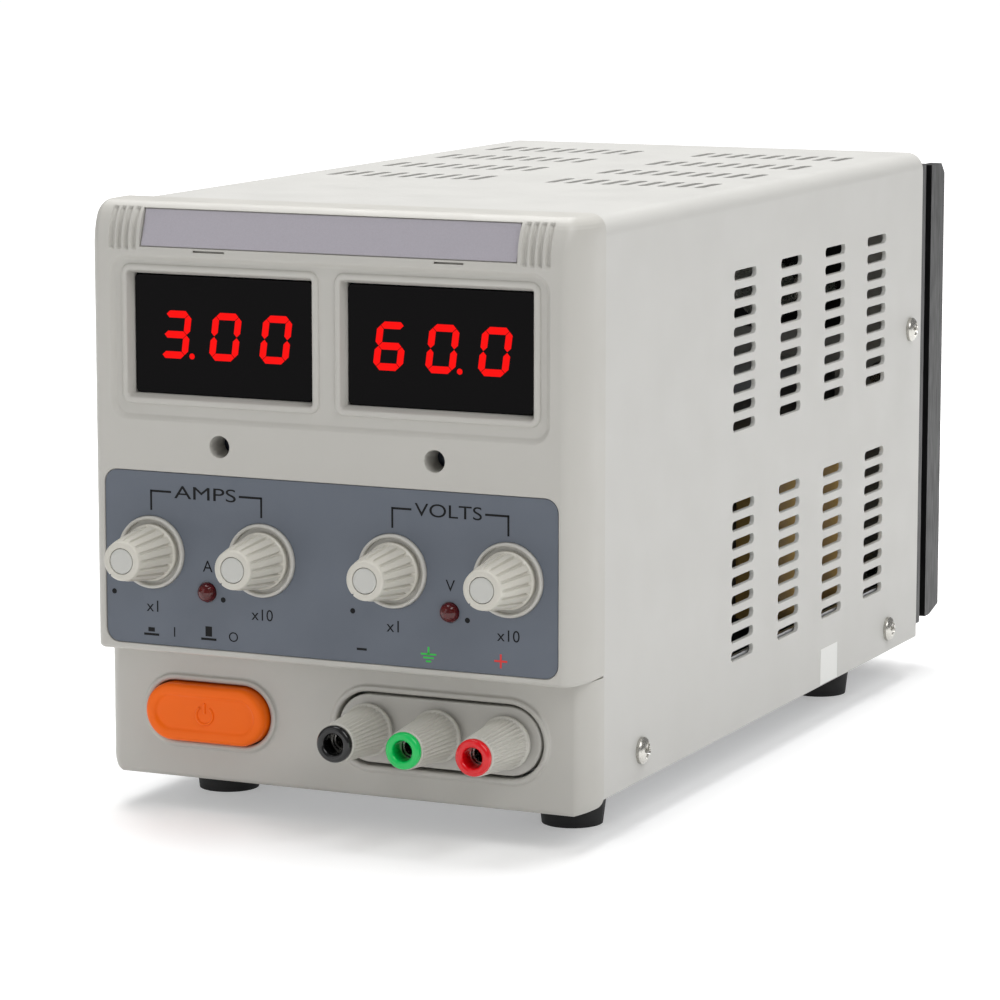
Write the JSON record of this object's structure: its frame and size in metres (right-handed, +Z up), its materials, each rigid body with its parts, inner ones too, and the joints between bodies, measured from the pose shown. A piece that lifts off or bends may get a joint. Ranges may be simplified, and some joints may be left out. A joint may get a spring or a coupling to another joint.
{
  "type": "bench power supply",
  "caption": "Compact desktop DC supply in a vented steel case: twin digital meters, fine and coarse dials, push power button, binding posts and a rear heat sink.",
  "frame": {"origin": "on the table, in the middle of the footprint, heat sink and knobs included", "axes": "+X to the right of someone facing the controls, +Y from the controls to the back, +Z up"},
  "size_m": [0.1404, 0.2966, 0.1586],
  "materials": {
    "painted_cover": "fine textured powder coat",
    "zinc_steel": "zinc plated",
    "bezel_plastic": "fine matt moulding",
    "fascia_sheet": "satin printed sheet",
    "strip_foil": "brushed foil",
    "dark_window": "smoked clear",
    "led_digits": "lit red segments",
    "circuit_board": "solder mask",
    "red_lens": "tinted clear",
    "blue_plastic": "moulded",
    "black_plastic": "moulded",
    "white_plastic": "moulded",
    "orange_plastic": "semi gloss moulding",
    "nickel": "nickel plated",
    "lamination_steel": "varnished laminations",
    "winding_tape": "yellow polyester tape",
    "brass_pillar": "turned",
    "capacitor_sleeve": "shrink sleeve",
    "black_anodised": "black anodised",
    "red_plastic": "moulded",
    "foot_rubber": "moulded",
    "white_label": "plain",
    "knob_plastic": "moulded",
    "nut_plastic": "moulded",
    "black_ring": "moulded",
    "green_ring": "moulded",
    "red_ring": "moulded"
  },
  "bodies": {
    "case": {"base_pan": "zinc_steel", "bezel_screws": "nickel", "board_standoffs": "brass_pillar", "bridge_rectifier": "black_plastic", "control_board": "circuit_board", "control_fascia": "fascia_sheet", "cover_screws": "nickel", "display_board": "circuit_board", "display_digits_left": "led_digits", "display_digits_right": "led_digits", "display_window_left": "dark_window", "display_window_right": "dark_window", "filter_capacitors": "capacitor_sleeve", "foot_screws": "nickel", "front_bezel": "bezel_plastic", "fuse_holder": "black_plastic", "heat_sink": "black_anodised", "heat_sink_screws": "nickel", "main_board": "circuit_board", "mains_inlet": "black_plastic", "meter_trimmers": "blue_plastic", "mode_lamps": "red_lens", "name_strip": "strip_foil", "pot_bodies": "zinc_steel", "power_switch": "black_plastic", "power_transistors": "nickel", "rear_panel": "painted_cover", "rubber_feet": "foot_rubber", "side_label": "white_label", "terminal_plate": "bezel_plastic", "terminal_posts": "nickel", "terminal_rear_nuts": "nickel", "top_cover": "painted_cover", "transformer_bolts": "nickel", "transformer_bracket": "zinc_steel", "transformer_coil": "winding_tape", "transformer_core": "lamination_steel", "voltage_selector": "black_plastic"},
    "current_fine_dial": {"current_fine_knob": "knob_plastic", "current_fine_cap": "knob_plastic", "current_fine_shaft": "nickel"},
    "current_coarse_dial": {"current_coarse_knob": "knob_plastic", "current_coarse_cap": "knob_plastic", "current_coarse_shaft": "nickel"},
    "voltage_fine_dial": {"voltage_fine_knob": "knob_plastic", "voltage_fine_cap": "knob_plastic", "voltage_fine_shaft": "nickel"},
    "voltage_coarse_dial": {"voltage_coarse_knob": "knob_plastic", "voltage_coarse_cap": "knob_plastic", "voltage_coarse_shaft": "nickel"},
    "button": {"power_button": "orange_plastic", "switch_plunger": "white_plastic"},
    "negative_carrier": {"negative_ring": "black_ring"},
    "negative_nut": {"negative_thumb_nut": "nut_plastic"},
    "ground_carrier": {"ground_ring": "green_ring"},
    "ground_nut": {"ground_thumb_nut": "nut_plastic"},
    "positive_carrier": {"positive_ring": "red_ring"},
    "positive_nut": {"positive_thumb_nut": "nut_plastic"},
    "fuse_carrier": {"fuse_cap": "black_plastic"},
    "selector": {"selector_key": "red_plastic"}
  },
  "joints": [
    {"name": "current_fine_turn", "type": "hinge", "parent": "case", "child": "current_fine_dial", "pos_m": [-0.04994, -0.1327, 0.06925], "axis": [0, 1, 0], "range_deg": [0, 300]},
    {"name": "current_coarse_turn", "type": "hinge", "parent": "case", "child": "current_coarse_dial", "pos_m": [-0.01833, -0.1327, 0.06925], "axis": [0, 1, 0], "range_deg": [0, 300]},
    {"name": "voltage_fine_turn", "type": "hinge", "parent": "case", "child": "voltage_fine_dial", "pos_m": [0.01833, -0.1327, 0.06925], "axis": [0, 1, 0], "range_deg": [0, 300]},
    {"name": "voltage_coarse_turn", "type": "hinge", "parent": "case", "child": "voltage_coarse_dial", "pos_m": [0.04994, -0.1327, 0.06925], "axis": [0, 1, 0], "range_deg": [0, 300]},
    {"name": "power_press", "type": "slide", "parent": "case", "child": "button", "axis": [0, -1, 0], "range_m": [-0.001, 0.004]},
    {"name": "negative_lift", "type": "slide", "parent": "case", "child": "negative_carrier", "axis": [0, -1, 0], "range_m": [0, 0.0035]},
    {"name": "negative_screw", "type": "hinge", "parent": "negative_carrier", "child": "negative_nut", "pos_m": [0.0086, -0.1327, 0.0271], "axis": [0, -1, 0], "range_deg": [0, 1802]},
    {"name": "ground_lift", "type": "slide", "parent": "case", "child": "ground_carrier", "axis": [0, -1, 0], "range_m": [0, 0.0035]},
    {"name": "ground_screw", "type": "hinge", "parent": "ground_carrier", "child": "ground_nut", "pos_m": [0.0276, -0.1327, 0.0271], "axis": [0, -1, 0], "range_deg": [0, 1802]},
    {"name": "positive_lift", "type": "slide", "parent": "case", "child": "positive_carrier", "axis": [0, -1, 0], "range_m": [0, 0.0035]},
    {"name": "positive_screw", "type": "hinge", "parent": "positive_carrier", "child": "positive_nut", "pos_m": [0.0466, -0.1327, 0.0271], "axis": [0, -1, 0], "range_deg": [0, 1802]},
    {"name": "fuse_pull", "type": "slide", "parent": "case", "child": "fuse_carrier", "axis": [0, 1, 0], "range_m": [0, 0.02]},
    {"name": "selector_slide", "type": "slide", "parent": "case", "child": "selector", "axis": [1, 0, 0], "range_m": [-0.006, 0]}
  ],
  "couplings": [
    {"joint": "negative_screw", "follows": "negative_lift", "rad_per_m": 8976},
    {"joint": "ground_screw", "follows": "ground_lift", "rad_per_m": 8976},
    {"joint": "positive_screw", "follows": "positive_lift", "rad_per_m": 8976}
  ]
}
